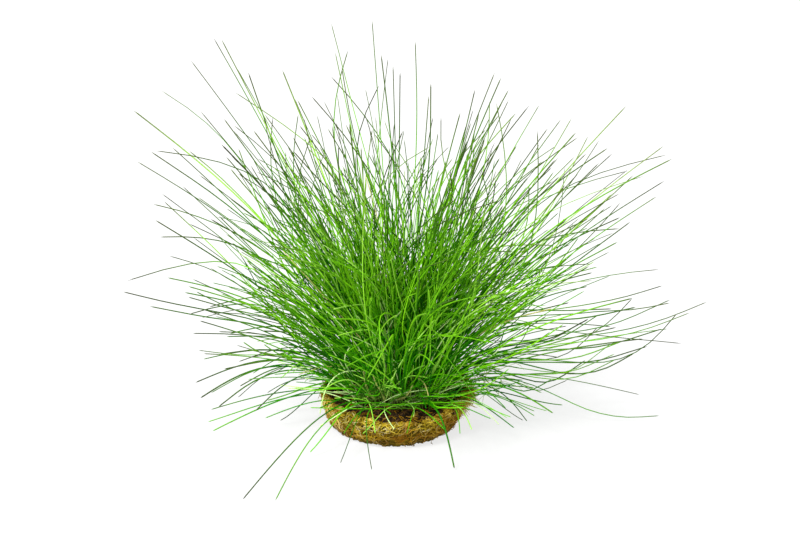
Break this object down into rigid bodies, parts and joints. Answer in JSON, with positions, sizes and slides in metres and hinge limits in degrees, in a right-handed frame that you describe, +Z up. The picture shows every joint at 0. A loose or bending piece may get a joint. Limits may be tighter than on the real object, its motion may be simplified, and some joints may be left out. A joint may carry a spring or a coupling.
{
  "type": "dwarf hairgrass",
  "caption": "Tuft of fine round grass blades fanning out of peat in a shallow round fibre mat, to set on a tank's bed.",
  "frame": {"origin": "middle of the fibre mat's flat underside", "axes": "+Z up, along the tuft; +X to the right and +Y to the back as the picture sees it; -Z faces the surface it rests on"},
  "size_m": [0.1902, 0.1839, 0.1331],
  "materials": {
    "fibre": "coarse matted fibre",
    "peat": "crumbly, matt",
    "blade": "satin leaf"
  },
  "bodies": {
    "root": {"fibre_mat": "fibre", "peat_fill": "peat", "plantlet_01": "blade", "plantlet_02": "blade", "plantlet_03": "blade", "plantlet_04": "blade", "plantlet_05": "blade", "plantlet_06": "blade", "plantlet_07": "blade", "plantlet_08": "blade", "plantlet_09": "blade", "plantlet_10": "blade", "plantlet_11": "blade", "plantlet_12": "blade", "plantlet_13": "blade", "plantlet_14": "blade", "plantlet_15": "blade", "plantlet_16": "blade", "plantlet_17": "blade", "plantlet_18": "blade", "plantlet_19": "blade", "plantlet_20": "blade", "plantlet_21": "blade", "plantlet_22": "blade", "plantlet_23": "blade", "plantlet_24": "blade", "plantlet_25": "blade", "plantlet_26": "blade", "plantlet_27": "blade", "plantlet_28": "blade", "plantlet_29": "blade", "plantlet_30": "blade", "plantlet_31": "blade", "plantlet_32": "blade", "plantlet_33": "blade", "plantlet_34": "blade", "plantlet_35": "blade", "plantlet_36": "blade", "plantlet_37": "blade", "plantlet_38": "blade", "plantlet_39": "blade", "plantlet_40": "blade", "plantlet_41": "blade", "plantlet_42": "blade", "plantlet_43": "blade", "plantlet_44": "blade", "plantlet_45": "blade", "plantlet_46": "blade", "plantlet_47": "blade", "plantlet_48": "blade", "plantlet_49": "blade", "plantlet_50": "blade", "plantlet_51": "blade", "plantlet_52": "blade", "plantlet_53": "blade", "plantlet_54": "blade", "plantlet_55": "blade", "plantlet_56": "blade"}
  },
  "joints": []
}
